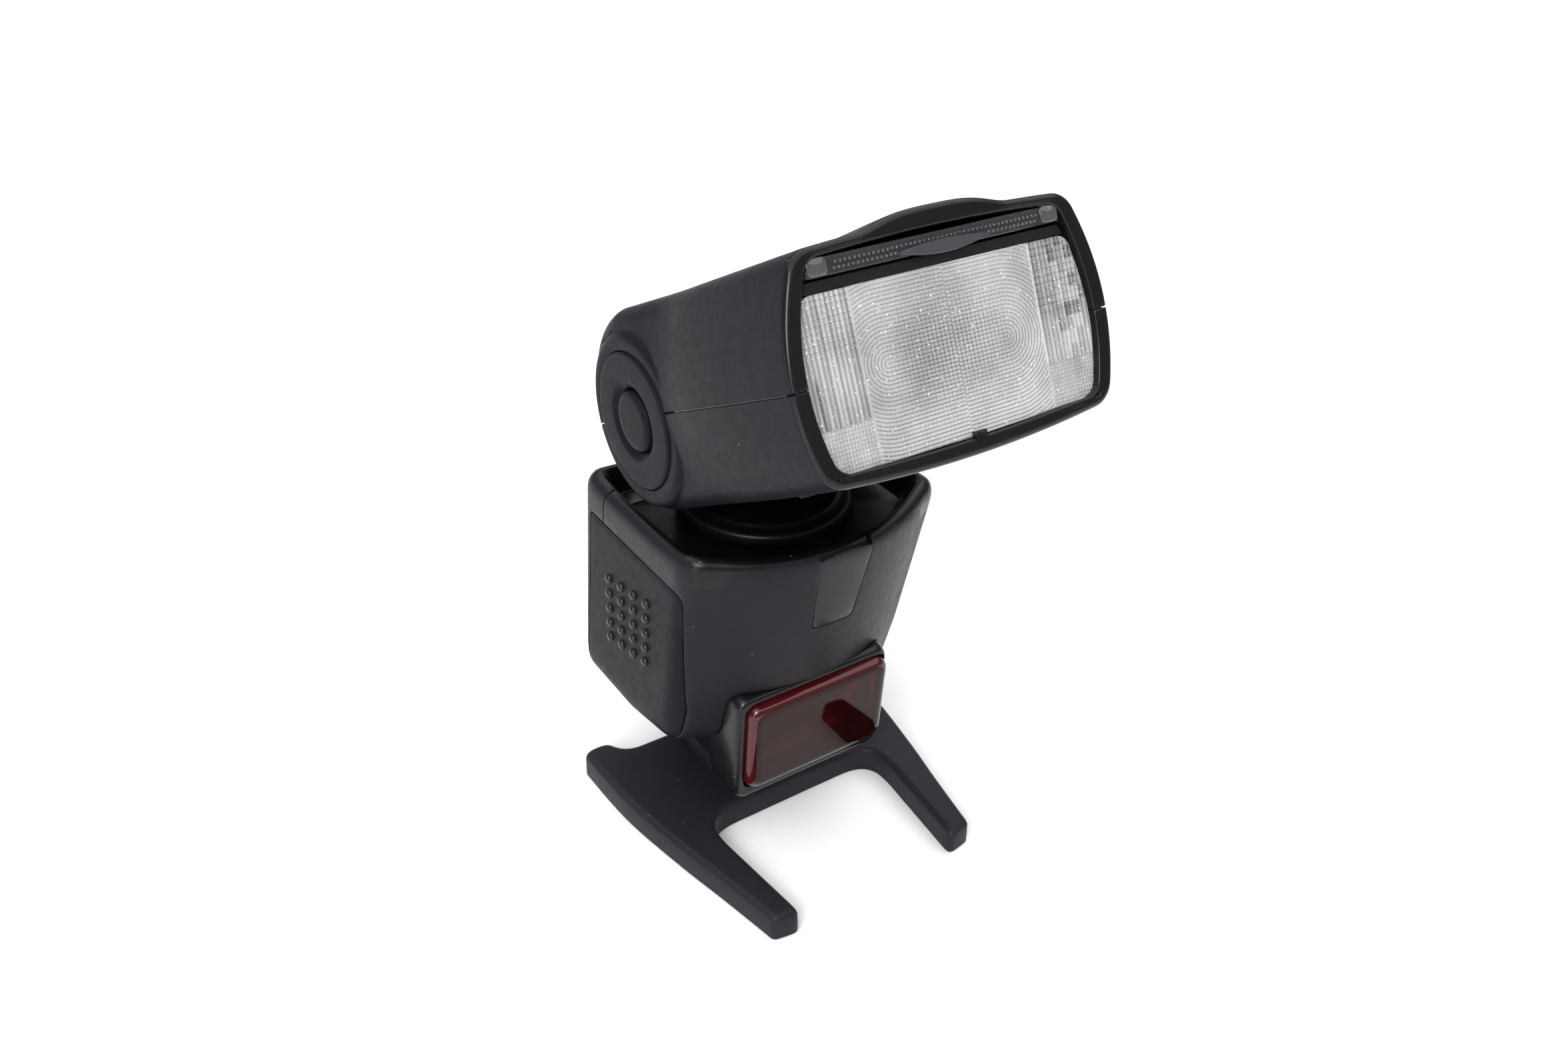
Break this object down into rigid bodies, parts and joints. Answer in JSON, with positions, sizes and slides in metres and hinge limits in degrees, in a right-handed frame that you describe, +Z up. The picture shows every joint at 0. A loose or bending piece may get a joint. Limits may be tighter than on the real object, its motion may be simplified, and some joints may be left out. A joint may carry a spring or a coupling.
{
  "type": "speedlight camera flash",
  "caption": "Shoe-mount camera flash on its table stand: tilting and swivelling head with zoom reflector, pull-out wide panel, side battery door, rear keys, hot shoe foot.",
  "frame": {"origin": "underside of the table stand, below the swivel axis line at x = 0", "axes": "+Z up, the front of the flash faces -Y, +X is the flash's left as it faces forward"},
  "size_m": [0.0796, 0.1075, 0.1692],
  "materials": {
    "shell_plastic": "fine matte texture",
    "gloss_black": "semi-gloss",
    "key_rubber": "matte",
    "inner_plastic": "plain moulded",
    "steel": "satin",
    "brass_metal": "gold-plated, satin",
    "clear_plastic": "clear moulded plastic",
    "smoked_plastic": "polished, smoked",
    "red_filter": "polished, deep red, see-through",
    "bright_reflector": "bright anodised",
    "circuit_board": "solder mask",
    "capacitor_sleeve": "shrink sleeve",
    "lcd_clear": "polished",
    "lcd_grey": "display cell",
    "pilot_amber": "translucent",
    "white_plastic": "plain moulded"
  },
  "bodies": {
    "stand": {"stand": "shell_plastic", "tripod_bush": "brass_metal"},
    "flash_body": {"body_front_shell": "shell_plastic", "body_rear_shell": "shell_plastic", "sensor_window": "smoked_plastic", "af_housing": "gloss_black", "af_window": "red_filter", "af_emitter": "inner_plastic", "battery_tray": "inner_plastic", "battery_contacts": "steel", "main_capacitor": "capacitor_sleeve", "main_board": "circuit_board", "lcd_window": "lcd_clear", "lcd_module": "lcd_grey", "foot_block": "shell_plastic", "foot_plate": "steel"},
    "neck_group": {"swivel_collar": "gloss_black", "swivel_nut": "steel", "neck": "gloss_black"},
    "head": {"head_upper_shell": "shell_plastic", "head_lower_shell": "shell_plastic", "pivot_cover_left": "shell_plastic", "pivot_cover_right": "shell_plastic", "tilt_shaft": "steel", "lock_spring": "steel", "fresnel_lens": "clear_plastic", "lens_bar": "gloss_black", "head_screw_left": "steel", "head_screw_right": "steel", "zoom_motor": "steel", "guide_rod": "steel"},
    "lock_button": {"lock_button": "shell_plastic"},
    "wide_panel_unit": {"wide_panel": "clear_plastic", "panel_carrier": "white_plastic"},
    "zoom_unit": {"zoom_carriage": "inner_plastic", "reflector": "bright_reflector", "flash_tube": "clear_plastic"},
    "lead_screw": {"lead_screw": "steel"},
    "door_pin": {"door_hinge_pin": "gloss_black"},
    "battery_door": {"battery_door": "shell_plastic", "door_contacts": "steel"},
    "power_switch": {"power_switch": "key_rubber"},
    "lock_lever": {"lock_lever": "key_rubber"},
    "lock_pin": {"lock_pin": "steel"},
    "key_light": {"key_light": "key_rubber"},
    "key_mode": {"key_mode": "key_rubber"},
    "key_sync": {"key_sync": "key_rubber"},
    "key_zoom": {"key_zoom": "key_rubber"},
    "key_minus": {"key_minus": "key_rubber"},
    "key_select": {"key_select": "key_rubber"},
    "key_plus": {"key_plus": "key_rubber"},
    "test_button": {"test_button": "pilot_amber"},
    "contact_pin_center": {"contact_pin_center": "brass_metal"},
    "contact_pin_1": {"contact_pin_1": "brass_metal"},
    "contact_pin_2": {"contact_pin_2": "brass_metal"},
    "contact_pin_3": {"contact_pin_3": "brass_metal"},
    "contact_pin_4": {"contact_pin_4": "brass_metal"}
  },
  "joints": [
    {"name": "shoe_slide", "type": "slide", "parent": "stand", "child": "flash_body", "axis": [0, 1, 0], "range_m": [0, 0.026]},
    {"name": "head_swivel", "type": "hinge", "parent": "flash_body", "child": "neck_group", "pos_m": [0, -0.002, 0.084], "axis": [0, 0, 1], "range_deg": [-90, 180]},
    {"name": "head_tilt", "type": "hinge", "parent": "neck_group", "child": "head", "pos_m": [0, 0.00213, 0.11057], "axis": [-1, 0, 0], "range_deg": [-28, 62]},
    {"name": "lock_button_press", "type": "slide", "parent": "head", "child": "lock_button", "axis": [1, 0, 0], "range_m": [0, 0.002], "stiffness_N_per_m": 500, "springref_m": -0.001, "deforming": ["lock_spring"]},
    {"name": "wide_panel_slide", "type": "slide", "parent": "head", "child": "wide_panel_unit", "axis": [0, -0.8829, 0.4695], "range_m": [0, 0.0405]},
    {"name": "zoom_travel", "type": "slide", "parent": "head", "child": "zoom_unit", "axis": [0, 0.8829, -0.4695], "range_m": [-0.004, 0.01]},
    {"name": "lead_screw_turn", "type": "hinge", "parent": "head", "child": "lead_screw", "pos_m": [-0.018, -0.04567, 0.11866], "axis": [0, 0.8829, -0.4695], "range_deg": [-360, 900]},
    {"name": "door_unlatch", "type": "slide", "parent": "flash_body", "child": "door_pin", "axis": [0.0333, 0.2007, -0.9791], "range_m": [0, 0.005]},
    {"name": "door_swing", "type": "hinge", "parent": "door_pin", "child": "battery_door", "pos_m": [-0.03165, 0.03038, 0.0365], "axis": [0.0333, 0.2007, -0.9791], "range_deg": [0, 100]},
    {"name": "key_light_press", "type": "slide", "parent": "flash_body", "child": "key_light", "axis": [0, -0.9833, -0.1819], "range_m": [0, 0.0005], "stiffness_N_per_m": 300, "springref_m": -0.0003},
    {"name": "key_mode_press", "type": "slide", "parent": "flash_body", "child": "key_mode", "axis": [0, -0.9833, -0.1819], "range_m": [0, 0.0005], "stiffness_N_per_m": 300, "springref_m": -0.0003},
    {"name": "key_sync_press", "type": "slide", "parent": "flash_body", "child": "key_sync", "axis": [0, -0.9833, -0.1819], "range_m": [0, 0.0005], "stiffness_N_per_m": 300, "springref_m": -0.0003},
    {"name": "key_zoom_press", "type": "slide", "parent": "flash_body", "child": "key_zoom", "axis": [0, -0.9833, -0.1819], "range_m": [0, 0.0005], "stiffness_N_per_m": 300, "springref_m": -0.0003},
    {"name": "key_minus_press", "type": "slide", "parent": "flash_body", "child": "key_minus", "axis": [0, -0.9833, -0.1819], "range_m": [0, 0.0005], "stiffness_N_per_m": 300, "springref_m": -0.0003},
    {"name": "key_select_press", "type": "slide", "parent": "flash_body", "child": "key_select", "axis": [0, -0.9833, -0.1819], "range_m": [0, 0.0005], "stiffness_N_per_m": 300, "springref_m": -0.0003},
    {"name": "key_plus_press", "type": "slide", "parent": "flash_body", "child": "key_plus", "axis": [0, -0.9833, -0.1819], "range_m": [0, 0.0005], "stiffness_N_per_m": 300, "springref_m": -0.0003},
    {"name": "test_button_press", "type": "slide", "parent": "flash_body", "child": "test_button", "axis": [0, -0.9833, -0.1819], "range_m": [0, 0.0005], "stiffness_N_per_m": 300, "springref_m": -0.0003},
    {"name": "power_switch_slide", "type": "slide", "parent": "flash_body", "child": "power_switch", "axis": [1, 0, 0], "range_m": [0, 0.0046]},
    {"name": "lock_lever_turn", "type": "hinge", "parent": "flash_body", "child": "lock_lever", "pos_m": [0, 0.0129, 0.0172], "axis": [0, 0, 1], "range_deg": [0, 75]},
    {"name": "lock_pin_drop", "type": "slide", "parent": "flash_body", "child": "lock_pin", "axis": [0, 0, -1], "range_m": [0, 0.0022]},
    {"name": "contact_pin_center_press", "type": "slide", "parent": "flash_body", "child": "contact_pin_center", "axis": [0, 0, 1], "range_m": [0, 0.0005], "stiffness_N_per_m": 300, "springref_m": -0.0003},
    {"name": "contact_pin_1_press", "type": "slide", "parent": "flash_body", "child": "contact_pin_1", "axis": [0, 0, 1], "range_m": [0, 0.0005], "stiffness_N_per_m": 300, "springref_m": -0.0003},
    {"name": "contact_pin_2_press", "type": "slide", "parent": "flash_body", "child": "contact_pin_2", "axis": [0, 0, 1], "range_m": [0, 0.0005], "stiffness_N_per_m": 300, "springref_m": -0.0003},
    {"name": "contact_pin_3_press", "type": "slide", "parent": "flash_body", "child": "contact_pin_3", "axis": [0, 0, 1], "range_m": [0, 0.0005], "stiffness_N_per_m": 300, "springref_m": -0.0003},
    {"name": "contact_pin_4_press", "type": "slide", "parent": "flash_body", "child": "contact_pin_4", "axis": [0, 0, 1], "range_m": [0, 0.0005], "stiffness_N_per_m": 300, "springref_m": -0.0003}
  ],
  "couplings": [
    {"joint": "lead_screw_turn", "follows": "zoom_travel", "rad_per_m": 1570.8},
    {"joint": "lock_pin_drop", "follows": "lock_lever_turn", "m_per_rad": 0.0016807}
  ]
}
